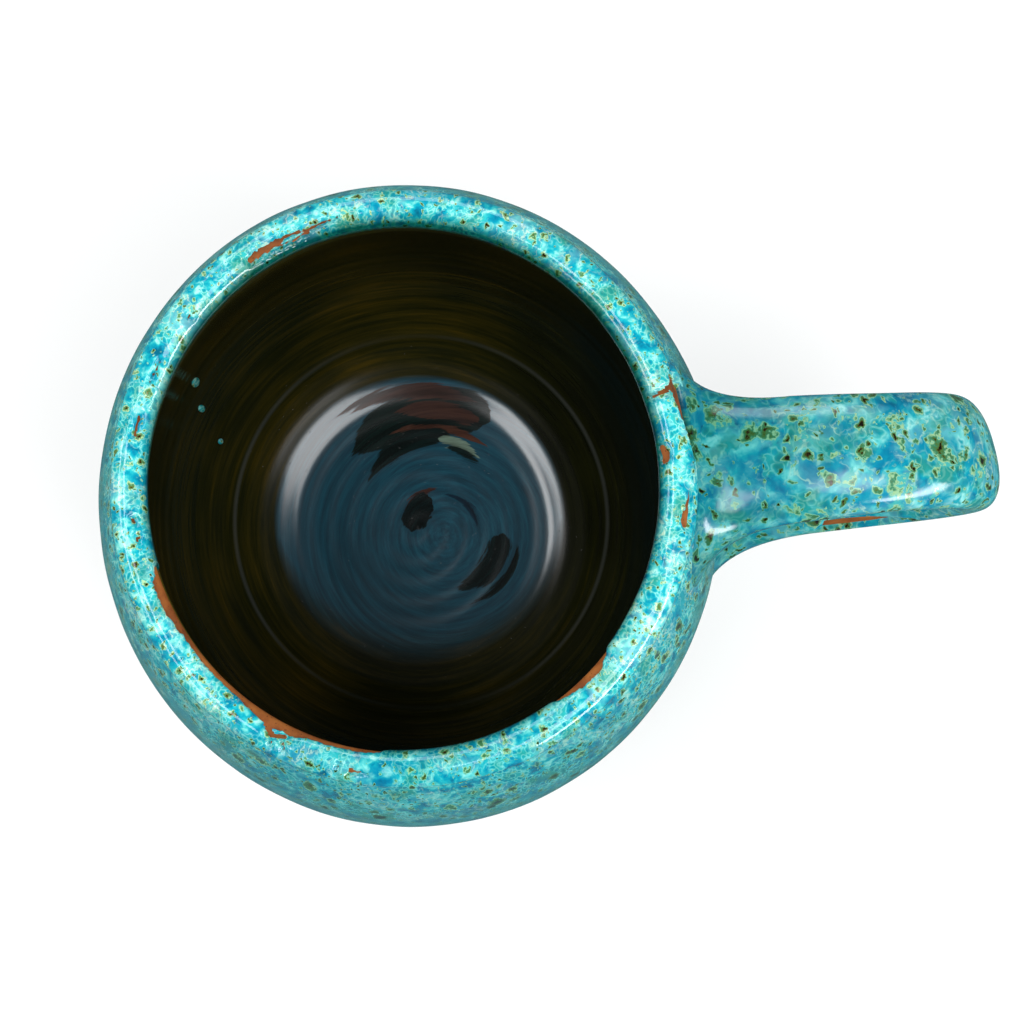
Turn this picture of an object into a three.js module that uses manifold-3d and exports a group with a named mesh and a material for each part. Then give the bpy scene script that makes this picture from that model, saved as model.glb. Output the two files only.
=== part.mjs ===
// Glazed stoneware cup: a wheel-thrown body with a turned foot, a pulled strap handle that is joined
// to the wall with slip at two flared roots, a turquoise coat outside and a dark liner coat inside.
// Millimetres, +Z up. The origin is the centre of the foot on the resting plane; the handle is on +X.
import * as THREE from 'three';
import { mergeVertices } from 'three/addons/utils/BufferGeometryUtils.js';
import Module from 'manifold-3d';

// Thrown clay body, measured on the bare clay
const rimHeight = 87.2;
const lipRadius = 40.2; // middle of the rounded lip
const lipThickness = 3.6;
const bellyRadius = 48.1;
const bellyHeight = 40;
const wallThickness = 4.6;
const floorThickness = 8.5;
const floorRadius = 24; // flat part of the inside floor
const ovality = 0.013; // out of round: wider across the handle's plane than along it

// Turned foot, flat underneath
const footRadius = 31.5;
const footHeight = 5;
const footEdge = 0.8; // chamfer round the resting face
const footWaist = 0.9; // how far the foot is turned in under the wall

// Pulled strap handle, measured on the bare clay
const strapWidth = 16.8;
const strapThickness = 7.2;
const lowerArmWidth = 13.6;
const strapSquareness = 2.4; // 2 is an oval section, more is a flatter strap
const upperRootDrop = 12; // rim to the middle of the upper root
const upperArmLift = 8.3; // pull of the strap's line above its upper root
const upperArmRun = 14; // and out beyond the belly
const handleProjection = 36.8; // belly to the middle of the strap at the bend
const bendDrop = 25.2; // rim to the middle of the bend
const bendRise = 18; // upright pull of the strap's line above the bend
const bendFall = 15; // and below it
const lowerArmRun = 18; // pull of the lower arm's line out beyond the belly
const lowerArmLift = 10.3; // and above its root
const lowerRootHeight = 29.2; // foot to the middle of the lower root
const lowerArmShift = 0.6; // the lower arm sits a little to one side
const bendTwist = THREE.MathUtils.degToRad(-10); // the strap's face turns a little at the bend
const upperRootFlare = 6.4; // added to each side of the strap at the wall
const lowerRootFlare = 10;
const rootThickening = 3; // added above and below the strap at the wall
const upperFlareLength = 11; // along the strap, from the wall
const lowerFlareLength = 19;
const flareSharpness = 3; // the higher, the later and steeper the flare
const rootDepth = 6; // how far the strap's line starts inside the wall's outer face

// Slip and glaze
const slipThickness = 0.9;
const glazeThickness = 0.8;
const linerThickness = 0.5;
const glazeLipDepth = 4.2; // how far the outside coat turns down inside the lip
const glazeFootClearance = 3.2; // bare clay above the foot
const fitGap = 0.1; // between a coat or a slip layer and the clay under it
const coatGap = 0.3; // between the edges of two coats

// Facets
const turnSteps = 44;
const strapSides = 16;
const strapSteps = 36;
const endDensity = 0.55; // how much closer the strap's rings lie at its roots than at its bend

const footTop = new THREE.Vector2(footRadius - footWaist, footHeight);
const lipRound = lipThickness / 2;
const lipCentreHeight = rimHeight - lipRound;

// Points of a curve, without its last one, so that curves chain into a profile
function openPoints(curve, steps) {
  const points = curve.getPoints(steps);
  points.pop();
  return points;
}

// Outer wall from the foot to the lip: swells to the belly, then draws in to the lip's outer side
function outerWall() {
  const belly = new THREE.Vector2(bellyRadius, bellyHeight);
  const lipOuter = new THREE.Vector2(lipRadius + lipRound, lipCentreHeight);
  const rise = bellyHeight - footHeight;
  const swell = bellyRadius - footTop.x;
  const lower = new THREE.CubicBezierCurve(
    footTop,
    new THREE.Vector2(footTop.x + 0.5 * swell, footTop.y + 0.17 * rise),
    new THREE.Vector2(bellyRadius, bellyHeight - 0.5 * rise),
    belly,
  );
  const fall = lipCentreHeight - bellyHeight;
  const draw = bellyRadius - lipOuter.x;
  const upper = new THREE.CubicBezierCurve(
    belly,
    new THREE.Vector2(bellyRadius, bellyHeight + 0.42 * fall),
    new THREE.Vector2(lipOuter.x + 0.5 * draw, lipOuter.y - 0.21 * fall),
    lipOuter,
  );
  return [...openPoints(lower, 7), ...openPoints(upper, 6)];
}

// Rounded lip, from its outer side over the top to its inner side
function lip() {
  const arc = new THREE.EllipseCurve(lipRadius, lipCentreHeight, lipRound, lipRound, 0, Math.PI);
  return openPoints(arc, 6);
}

// Inside, from the lip down behind it to the belly and in to the floor's edge
function innerWall() {
  const lipInner = new THREE.Vector2(lipRadius - lipRound, lipCentreHeight);
  const belly = new THREE.Vector2(bellyRadius - wallThickness, bellyHeight);
  const fall = lipCentreHeight - bellyHeight;
  const hollow = belly.x - lipInner.x;
  const upper = new THREE.CubicBezierCurve(
    lipInner,
    new THREE.Vector2(lipInner.x + 0.05 * hollow, lipInner.y - 0.3 * fall),
    new THREE.Vector2(belly.x, belly.y + 0.46 * fall),
    belly,
  );
  const floorEdge = new THREE.Vector2(floorRadius, floorThickness);
  const drop = bellyHeight - floorThickness;
  const lower = new THREE.CubicBezierCurve(
    belly,
    new THREE.Vector2(belly.x, belly.y - 0.55 * drop),
    new THREE.Vector2(floorRadius + 0.62 * (belly.x - floorRadius), floorThickness),
    floorEdge,
  );
  return [...openPoints(upper, 5), ...openPoints(lower, 7), floorEdge];
}

// Underside: the flat resting face and the chamfer round it, from the axis outwards
function foot() {
  return [
    new THREE.Vector2(0, 0),
    new THREE.Vector2(footRadius - footEdge, 0),
    new THREE.Vector2(footRadius, footEdge),
  ];
}

// A profile moved sideways by a distance, to the right of its direction where that is positive
function offsetProfile(points, distance) {
  return points.map((point, i) => {
    const before = points[Math.max(i - 1, 0)];
    const after = points[Math.min(i + 1, points.length - 1)];
    const along = after.clone().sub(before).normalize();
    return new THREE.Vector2(point.x + along.y * distance, point.y - along.x * distance);
  });
}

// The stretch of a profile above a height, or below it, with a point where it crosses that height
function stretchOf(points, height, isAbove) {
  const inside = (point) => point.y > height === isAbove;
  return points.flatMap((point, i) => {
    const kept = inside(point) ? [point] : [];
    const before = points[Math.max(i - 1, 0)];
    if (inside(before) !== inside(point)) {
      const share = (height - before.y) / (point.y - before.y);
      kept.unshift(before.clone().lerp(point, share));
    }
    return kept;
  });
}

// Geometry with only positions, shared vertices and no empty triangles
function cleanGeometry(geometry) {
  geometry.deleteAttribute('normal');
  geometry.deleteAttribute('uv');
  const merged = mergeVertices(geometry);
  const corners = merged.index.array;
  const kept = [];
  for (let i = 0; i < corners.length; i += 3) {
    const [a, b, c] = corners.slice(i, i + 3);
    if (a !== b && b !== c && c !== a) {
      kept.push(a, b, c);
    }
  }
  merged.setIndex(kept);
  return merged;
}

// A profile turned on the wheel: it runs anticlockwise, seen with the radius to the right
function turned(profile) {
  const geometry = new THREE.LatheGeometry(profile, turnSteps);
  geometry.rotateX(Math.PI / 2);
  geometry.scale(1 - ovality, 1 + ovality, 1);
  return cleanGeometry(geometry);
}

// Radius of the wall's outer face at a height, from the wall's own profile
function wallRadiusAt(height) {
  const wall = outerWall();
  const above = wall.findIndex((point) => point.y > height);
  const low = wall[above - 1];
  const high = wall[above];
  return THREE.MathUtils.mapLinear(height, low.y, high.y, low.x, high.x);
}

// The strap's line: out of the wall at the upper root, over the bend and back in at the lower root
function strapLine() {
  const upperHeight = rimHeight - upperRootDrop;
  const upperRoot = new THREE.Vector3(wallRadiusAt(upperHeight) - rootDepth, 0, upperHeight);
  const lowerRadius = wallRadiusAt(lowerRootHeight) - rootDepth;
  const lowerRoot = new THREE.Vector3(lowerRadius, lowerArmShift, lowerRootHeight);
  const bend = new THREE.Vector3(bellyRadius + handleProjection, 0, rimHeight - bendDrop);
  const upperPull = new THREE.Vector3(bellyRadius + upperArmRun, 0, upperHeight + upperArmLift);
  const abovePull = bend.clone().setZ(bend.z + bendRise);
  const belowPull = bend.clone().setZ(bend.z - bendFall);
  const lowerPull = new THREE.Vector3(bellyRadius + lowerArmRun, lowerArmShift, lowerRootHeight + lowerArmLift);
  const line = new THREE.CurvePath();
  line.add(new THREE.CubicBezierCurve3(upperRoot, upperPull, abovePull, bend));
  line.add(new THREE.CubicBezierCurve3(bend, belowPull, lowerPull, lowerRoot));
  return line;
}

// How near a place on the strap is to a root: 1 at the wall, 0 from the end of the flare on
function nearness(distance, flareLength) {
  return THREE.MathUtils.clamp(1 - distance / flareLength, 0, 1);
}

// Closed strap along the line, its section grown all round by a coat's thickness. Towards a root
// the section flares like a trumpet, and its sides reach back round the curve of the wall.
function strap(coatThickness) {
  const line = strapLine();
  const length = line.getLength();
  const power = (value) => Math.sign(value) * Math.abs(value) ** (2 / strapSquareness);
  const positions = [];
  for (let i = 0; i <= strapSteps; i += 1) {
    const step = i / strapSteps;
    const along = step - (endDensity * Math.sin(2 * Math.PI * step)) / (2 * Math.PI);
    const middle = line.getPointAt(along);
    const tangent = line.getTangentAt(along);
    const twist = bendTwist * Math.sin(Math.PI * along) ** 2;
    const outward = new THREE.Vector3(-tangent.z, 0, tangent.x).normalize().applyAxisAngle(tangent, twist);
    const sideways = new THREE.Vector3(0, 1, 0).applyAxisAngle(tangent, twist);
    const upper = nearness(along * length - rootDepth, upperFlareLength);
    const lower = nearness((1 - along) * length - rootDepth, lowerFlareLength);
    const upperFlare = upper ** flareSharpness;
    const lowerFlare = lower ** flareSharpness;
    const armShare = THREE.MathUtils.smoothstep(along, 0.4, 0.75);
    const width = THREE.MathUtils.lerp(strapWidth, lowerArmWidth, armShare);
    const halfWidth = width / 2 + upperFlare * upperRootFlare + lowerFlare * lowerRootFlare + coatThickness;
    const halfThickness = strapThickness / 2 + (upperFlare + lowerFlare) * rootThickening + coatThickness;
    for (let j = 0; j < strapSides; j += 1) {
      const turn = (j / strapSides) * 2 * Math.PI;
      const point = middle.clone();
      point.addScaledVector(sideways, power(Math.cos(turn)) * halfWidth);
      point.addScaledVector(outward, power(Math.sin(turn)) * halfThickness);
      const reachBack = bellyRadius - Math.sqrt(bellyRadius ** 2 - point.y ** 2);
      positions.push(point.x - reachBack * (upper + lower), point.y, point.z);
    }
  }
  const index = [];
  for (let i = 0; i < strapSteps; i += 1) {
    for (let j = 0; j < strapSides; j += 1) {
      const a = i * strapSides + j;
      const b = i * strapSides + ((j + 1) % strapSides);
      index.push(a, b, a + strapSides, b, b + strapSides, a + strapSides);
    }
  }
  const last = strapSteps * strapSides;
  for (let j = 1; j < strapSides - 1; j += 1) {
    index.push(0, j + 1, j, last, last + j, last + j + 1);
  }
  const geometry = new THREE.BufferGeometry();
  geometry.setAttribute('position', new THREE.Float32BufferAttribute(positions, 3));
  geometry.setIndex(index);
  return geometry;
}

const wasm = await Module();
wasm.setup();

function solid(geometry) {
  return new wasm.Manifold(
    new wasm.Mesh({
      numProp: 3,
      vertProperties: Float32Array.from(geometry.attributes.position.array),
      triVerts: Uint32Array.from(geometry.index.array),
    }),
  );
}

function geometryOf(manifold) {
  const mesh = manifold.getMesh();
  const geometry = new THREE.BufferGeometry();
  geometry.setAttribute('position', new THREE.Float32BufferAttribute(mesh.vertProperties, 3));
  geometry.setIndex(Array.from(mesh.triVerts));
  return geometry;
}

// Solid of everything inside the wall's outer face, grown by a distance
function wallEnvelope(distance) {
  const wall = offsetProfile([...outerWall(), ...lip()], distance);
  const bottom = new THREE.Vector2(0, wall[0].y);
  const top = new THREE.Vector2(0, wall[wall.length - 1].y);
  return solid(turned([bottom, ...wall, top]));
}

// Clay body: foot, outer wall, lip, inner wall and floor in one turned profile
function clayBody() {
  const floorCentre = new THREE.Vector2(0, floorThickness);
  return turned([...foot(), ...outerWall(), ...lip(), ...innerWall(), floorCentre]);
}

// A turned coat of even thickness that lies on a stretch of the clay's profile
function coat(stretch, thickness) {
  const under = offsetProfile(stretch, fitGap);
  const surface = offsetProfile(stretch, fitGap + thickness);
  return [...surface, ...under.reverse(), surface[0]];
}

// Outside coat over the wall and the lip, open where the two handle roots pass through it
function bodyGlaze() {
  const wall = stretchOf([...outerWall(), ...lip()], footHeight + glazeFootClearance, true);
  const lipInside = stretchOf(innerWall(), rimHeight - glazeLipDepth, true);
  const shell = solid(turned(coat([...wall, ...lipInside], glazeThickness)));
  const roots = solid(strap(fitGap + glazeThickness + coatGap));
  return geometryOf(shell.subtract(roots));
}

// Inside coat from below the edge of the outside coat to the middle of the floor
function linerGlaze() {
  const wall = stretchOf(innerWall(), rimHeight - glazeLipDepth - coatGap, false);
  const under = offsetProfile(wall, fitGap);
  const surface = offsetProfile(wall, fitGap + linerThickness);
  const centre = (points) => new THREE.Vector2(0, points[points.length - 1].y);
  return turned([centre(under), ...under.reverse(), ...surface, centre(surface)]);
}

const slipFace = fitGap + slipThickness;
const strapSolid = solid(strap(0));

// Handle clay: the strap, cut back to the slip's outer face at both roots
function handleClay() {
  return geometryOf(strapSolid.subtract(wallEnvelope(slipFace + fitGap)));
}

// Slip layers: the strap's section where it crosses the thin space between the wall and the root
function slipLayers() {
  const layer = strapSolid.intersect(wallEnvelope(slipFace)).subtract(wallEnvelope(fitGap));
  return layer.decompose().sort((a, b) => b.boundingBox().max[2] - a.boundingBox().max[2]);
}

// Handle coat: a sleeve round the strap, from the wall at one root to the wall at the other
function handleGlaze() {
  const sleeve = solid(strap(fitGap + glazeThickness)).subtract(solid(strap(fitGap)));
  return geometryOf(sleeve.subtract(wallEnvelope(fitGap)));
}

const clayColour = 0x9a4a22;
const slipColour = 0x8a4320;
const turquoiseColour = 0x19a9c6;
const linerColour = 0x17120b;

function piece(name, geometry, color, roughness) {
  const material = new THREE.MeshStandardMaterial({ color, roughness, metalness: 0 });
  const mesh = new THREE.Mesh(geometry, material);
  mesh.name = name;
  return mesh;
}

const cup = new THREE.Group();
const [upperSlip, lowerSlip] = slipLayers();
cup.add(piece('clay_body', clayBody(), clayColour, 0.85));
cup.add(piece('handle', handleClay(), clayColour, 0.85));
cup.add(piece('upper_slip_joint', geometryOf(upperSlip), slipColour, 0.9));
cup.add(piece('lower_slip_joint', geometryOf(lowerSlip), slipColour, 0.9));
cup.add(piece('body_glaze', bodyGlaze(), turquoiseColour, 0.15));
cup.add(piece('liner_glaze', linerGlaze(), linerColour, 0.12));
cup.add(piece('handle_glaze', handleGlaze(), turquoiseColour, 0.15));

export default cup;
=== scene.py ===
import bpy
import bmesh
import math
from bisect import bisect
from mathutils import Matrix, Vector, noise
from mathutils.geometry import interpolate_bezier


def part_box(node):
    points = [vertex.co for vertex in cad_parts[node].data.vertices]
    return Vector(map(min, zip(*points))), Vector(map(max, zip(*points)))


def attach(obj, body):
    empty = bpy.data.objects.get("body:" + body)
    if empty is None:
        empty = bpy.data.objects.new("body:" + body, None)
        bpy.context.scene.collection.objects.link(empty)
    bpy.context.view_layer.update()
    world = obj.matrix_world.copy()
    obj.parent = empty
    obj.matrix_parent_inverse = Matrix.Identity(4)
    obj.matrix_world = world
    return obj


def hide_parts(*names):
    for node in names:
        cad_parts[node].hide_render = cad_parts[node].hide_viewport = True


# Glazed stoneware cup: the thrown body, its pulled strap handle and the glaze coats, in millimetres
# until a mesh is finished, and then in metres in the frame's own axes
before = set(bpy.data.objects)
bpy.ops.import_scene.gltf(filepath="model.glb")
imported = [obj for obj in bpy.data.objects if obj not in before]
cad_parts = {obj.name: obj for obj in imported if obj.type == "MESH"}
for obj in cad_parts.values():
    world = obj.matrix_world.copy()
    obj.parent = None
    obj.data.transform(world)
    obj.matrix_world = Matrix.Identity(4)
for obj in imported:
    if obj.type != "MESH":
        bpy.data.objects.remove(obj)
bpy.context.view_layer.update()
mm = 0.001
mergeGap = 0.0005  # points closer than this become one
hiddenRun = 999  # marks the points at the back of a coat
print("frame loaded:", sorted(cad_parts))


def smooth(low, high, value):
    part = min(max((value - low) / (high - low), 0), 1)
    return part * part * (3 - 2 * part)


def blend(low, high, part):
    return low + (high - low) * part


def place(radius, height):
    return Vector((radius, 0, height))


# The thrown section, on the bare clay
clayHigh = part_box("clay_body")[1]
vessel = {
    "rimHeight": clayHigh.z / mm,
    "lipRadius": 40.2,  # middle of the rounded lip
    "lipThickness": 3.6,
    "ovality": 0.013,  # wider across the handle's plane than along it
    "bellyHeight": 40,
    "wallThickness": 4.6,
    "floorThickness": 8.5,
    "floorRadius": 24,
    "footRadius": 31.5,
    "footHeight": 5,
    "footEdge": 0.8,
    "footWaist": 0.9,
    # pulls of the section's curves, as shares of their width and height
    "outerPull": {"foot": (0.5, 0.17), "under": 0.5, "over": 0.42, "lip": (0.5, 0.21)},
    "innerPull": {"lip": (0.05, 0.3), "over": 0.46, "under": 0.55, "floor": 0.62},
    "outerSteps": (22, 44),
    "innerSteps": (90, 70, 60),
    "lipSteps": 36,
    "wheelSteps": 48,
    "cuts": 4,
}
vessel["bellyRadius"] = clayHigh.y / mm / (1 + vessel["ovality"])
lipRound = vessel["lipThickness"] / 2
lipCentre = vessel["rimHeight"] - lipRound
belly = place(vessel["bellyRadius"], vessel["bellyHeight"])
innerBelly = place(belly.x - vessel["wallThickness"], belly.z)
footTop = place(vessel["footRadius"] - vessel["footWaist"], vessel["footHeight"])
lipOuter = place(vessel["lipRadius"] + lipRound, lipCentre)
lipInner = place(vessel["lipRadius"] - lipRound, lipCentre)


def outsideWall():  # from the foot up to the lip
    rise = belly.z - footTop.z
    swell = belly.x - footTop.x
    fall = lipOuter.z - belly.z
    draw = belly.x - lipOuter.x
    pull = vessel["outerPull"]
    footPull = footTop + place(pull["foot"][0] * swell, pull["foot"][1] * rise)
    bellyUnder = belly - place(0, pull["under"] * rise)
    bellyOver = belly + place(0, pull["over"] * fall)
    lipPull = lipOuter + place(pull["lip"][0] * draw, -pull["lip"][1] * fall)
    lowSteps, highSteps = vessel["outerSteps"]
    lower = interpolate_bezier(footTop, footPull, bellyUnder, belly, lowSteps)
    upper = interpolate_bezier(belly, bellyOver, lipPull, lipOuter, highSteps)
    return lower[:-1] + upper


def roundLip():  # over the top, from outside to inside
    steps = vessel["lipSteps"]
    turns = [math.pi * step / steps for step in range(1, steps)]
    return [place(vessel["lipRadius"] + lipRound * math.cos(turn), lipCentre + lipRound * math.sin(turn))
            for turn in turns]


def insideWall(floorRadius):  # from the lip down to the middle of the floor
    fall = lipInner.z - innerBelly.z
    hollow = innerBelly.x - lipInner.x
    floorEdge = place(floorRadius, vessel["floorThickness"])
    drop = innerBelly.z - floorEdge.z
    pull = vessel["innerPull"]
    lipPull = lipInner + place(pull["lip"][0] * hollow, -pull["lip"][1] * fall)
    bellyOver = innerBelly + place(0, pull["over"] * fall)
    bellyUnder = innerBelly - place(0, pull["under"] * drop)
    floorPull = floorEdge + place(pull["floor"] * (innerBelly.x - floorEdge.x), 0)
    highSteps, lowSteps, floorSteps = vessel["innerSteps"]
    upper = interpolate_bezier(lipInner, lipPull, bellyOver, innerBelly, highSteps)
    lower = interpolate_bezier(innerBelly, bellyUnder, floorPull, floorEdge, lowSteps)
    floor = [place(floorEdge.x * (1 - step / floorSteps), floorEdge.z) for step in range(1, floorSteps + 1)]
    return upper[:-1] + lower + floor


def sunk(section, depth):  # the same section, that far inside the clay
    moved = []
    for index, point in enumerate(section):
        run = section[min(index + 1, len(section) - 1)] - section[max(index - 1, 0)]
        moved.append(point - place(run.z, -run.x).normalized() * depth)
    return moved


def runLengths(section, start):  # distance along the section, from the point with that index
    lengths = [0]
    for first, second in zip(section, section[1:]):
        lengths.append(lengths[-1] + (second - first).length)
    return [lengths[start] - length for length in lengths]


outside = outsideWall()
lip = roundLip()
inside = insideWall(vessel["floorRadius"])
claySection = outside + lip + inside
crestIndex = len(outside) + len(lip) // 2
clayRun = runLengths(claySection, crestIndex)  # positive down the outside, negative down the inside
wallHeights = [point.z for point in outside]


def wallRadius(height):  # outside radius of the bare clay
    index = min(max(bisect(wallHeights, height), 1), len(outside) - 1)
    low, high = outside[index - 1], outside[index]
    return blend(low.x, high.x, (height - low.z) / (high.z - low.z))


def ovalTurn(point):  # angle round the cup before it was pulled oval
    return math.atan2(point.y / (1 + vessel["ovality"]), point.x / (1 - vessel["ovality"]))


def turnOnWheel(section, runs, cuts, closed):
    mesh = bmesh.new()
    runLayer = mesh.verts.layers.float.new("run")
    orderLayer = mesh.verts.layers.float.new("order")
    points = [mesh.verts.new(point) for point in section]
    for order, point in enumerate(points):
        point[runLayer] = runs[order]
        point[orderLayer] = order
    edges = [mesh.edges.new(pair) for pair in zip(points, points[1:])]
    if closed:
        edges.append(mesh.edges.new((points[-1], points[0])))
    bmesh.ops.spin(mesh, geom=points + edges, axis=(0, 0, 1), cent=(0, 0, 0), angle=2 * math.pi,
                   steps=vessel["wheelSteps"], use_merge=True)
    bmesh.ops.remove_doubles(mesh, verts=mesh.verts, dist=mergeGap)
    rings = [edge for edge in mesh.edges if edge.verts[0][orderLayer] == edge.verts[1][orderLayer]]
    bmesh.ops.subdivide_edges(mesh, edges=rings, cuts=cuts, use_grid_fill=True)
    for vert in mesh.verts:  # the new points go from their chords out to the round
        flat = vert.co.xy.length
        if flat > 0:
            vert.co.xy *= section[round(vert[orderLayer])].x / flat
    bmesh.ops.recalc_face_normals(mesh, faces=mesh.faces)
    mesh.normal_update()
    return mesh, runLayer


def pullOval(mesh):
    bmesh.ops.scale(mesh, verts=mesh.verts, vec=(1 - vessel["ovality"], 1 + vessel["ovality"], 1))


def finishPiece(mesh, name, material, slot, *nodes):
    bmesh.ops.scale(mesh, verts=mesh.verts, vec=(mm, mm, mm))
    data = bpy.data.meshes.new(name)
    mesh.to_mesh(data)
    mesh.free()
    data.shade_smooth()
    data.materials.append(material)
    piece = bpy.data.objects.new(name, data)
    bpy.context.scene.collection.objects.link(piece)
    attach(piece, "root")
    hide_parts(*nodes)
    print(name, "has", len(data.polygons), "faces")


# Materials
def linear(hexColour):
    channels = [int(hexColour[start:start + 2], 16) / 255 for start in (1, 3, 5)]
    return [c / 12.92 if c <= 0.04045 else ((c + 0.055) / 1.055) ** 2.4 for c in channels] + [1]


def addNode(tree, kind, inputs=(), stops=(), **settings):
    node = tree.nodes.new("ShaderNode" + kind)
    for name, value in settings.items():
        setattr(node, name, value)
    for name, value in dict(inputs).items():
        if isinstance(value, bpy.types.NodeSocket):
            tree.links.new(value, node.inputs[name])
        else:
            node.inputs[name].default_value = value
    for index, (position, colour) in enumerate(stops):
        if index > 1:
            node.color_ramp.elements.new(position)
        node.color_ramp.elements[index].position = position
        node.color_ramp.elements[index].color = linear(colour)
    return node


def newMaterial(name):
    material = bpy.data.materials.new(name)
    material.use_nodes = True
    tree = material.node_tree
    tree.nodes.clear()
    shader = addNode(tree, "BsdfPrincipled")
    addNode(tree, "OutputMaterial", {"Surface": shader.outputs[0]})
    return material, tree, shader


def inMillimetres(tree, grain=1, sag=1):  # object coordinates, so that pattern scales are per millimetre
    where = addNode(tree, "TexCoord")
    fine = 1 / mm / grain
    scaled = addNode(tree, "VectorMath", {0: where.outputs["Object"], 1: (fine, fine, fine / sag)},
                     operation="MULTIPLY")
    return scaled.outputs[0]


# Red-brown stoneware, fired and left bare: dull, with darker iron specks and a fine grit
def firedClay(name, colours):
    material, tree, shader = newMaterial(name)
    at = inMillimetres(tree)
    cloud = addNode(tree, "TexNoise", {"Vector": at, "Scale": 1 / 4, "Detail": 6, "Roughness": 0.6})
    tone = addNode(tree, "ValToRGB", {0: cloud.outputs[0]}, list(zip((0.3, 0.5, 0.72), colours)))
    grit = addNode(tree, "TexVoronoi", {"Vector": at, "Scale": 1 / 0.6})  # drawn coarser than real grit
    speck = addNode(tree, "ValToRGB", {0: grit.outputs["Distance"]}, [(0.08, "#FFFFFF"), (0.2, "#000000")])
    iron = addNode(tree, "Mix", {0: speck.outputs[0], 6: tone.outputs[0], 7: linear("#3A1A0C")},
                   data_type="RGBA")
    bump = addNode(tree, "Bump", {"Height": grit.outputs["Distance"], "Strength": 0.25, "Distance": 0.1 * mm})
    tree.links.new(iron.outputs[2], shader.inputs["Base Color"])
    tree.links.new(bump.outputs[0], shader.inputs["Normal"])
    shader.inputs["Roughness"].default_value = 0.72
    shader.inputs["Specular IOR Level"].default_value = 0.25
    return material


# Reactive turquoise glaze, thick and glassy: pale cells in a swirled blue network, green blots with a
# cream ring and a dark iron heart, and a wet gloss over it all
glaze = {  # sizes in millimetres
    "swirl": 6,
    "swirlReach": 3,
    "curl": 1.7,
    "curlReach": 1.2,
    "frayReach": 2.2,
    "ruffle": 0.8,
    "ruffleReach": 1.1,
    "band": 3.3,
    "cell": 1.5,
    "drift": 4.5,
    "thread": 4,
    "lipPaintedLight": 1.15,  # painted light: the coat's colour is made lighter over the lip
    "handleRun": 12,  # the handle counts as that far down the wall
}
# Each coat has its own pattern and painted shade. A blot has a spacing, a share left plain, its least and
# greatest radius, the size of its dark heart, and the run over the lip at which it begins to show.
bodyLook = {
    "grain": 0.52,  # size of its pattern
    "sag": 2.4,  # how far its flecks have run down
    "bloom": 0,  # how far its drifts of colour spread
    "depth": "#F6F6F2",  # tint of the whole coat
    "dullness": 0.07,
    "paintedShade": {"axis": (0, -1, 0), "from": 29, "to": 40, "tint": "#BEE2E8"},  # painted shade: darker and bluer on the near side
    "blots": [
        {"spacing": 1.8, "plain": 0.2, "radius": (0.25, 0.7), "heart": (0.12, -0.22), "from": -9, "to": -8},
        {"spacing": 3.4, "plain": 0.15, "radius": (0.6, 1.5), "heart": (0.12, -0.22), "from": -9, "to": -8},
        {"spacing": 6.5, "plain": 0.15, "radius": (0.95, 2.9), "heart": (0.3, -0.05), "from": 4, "to": 9},
    ],
}
strapLook = {
    "grain": 1,
    "sag": 1,
    "bloom": 0.05,
    "depth": "#CCE2E6",
    "dullness": 0.16,
    "paintedShade": {"axis": (-1, 0, 0), "from": -68, "to": -50, "tint": "#A8D4D6"},  # painted shade: darker and bluer by its upper root, where it meets the wall
    "blots": [
        {"spacing": 3.6, "plain": 0.08, "radius": (0.9, 2), "heart": (0.05, -0.25), "from": 0, "to": 1},
        {"spacing": 1.8, "plain": 0.1, "radius": (0.25, 0.8), "heart": (0.12, -0.2), "from": 0, "to": 1},
        {"spacing": 2.8, "plain": 0.45, "radius": (0.4, 1.1), "heart": (0.3, -0.1), "from": 0, "to": 1},
    ],
}


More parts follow.
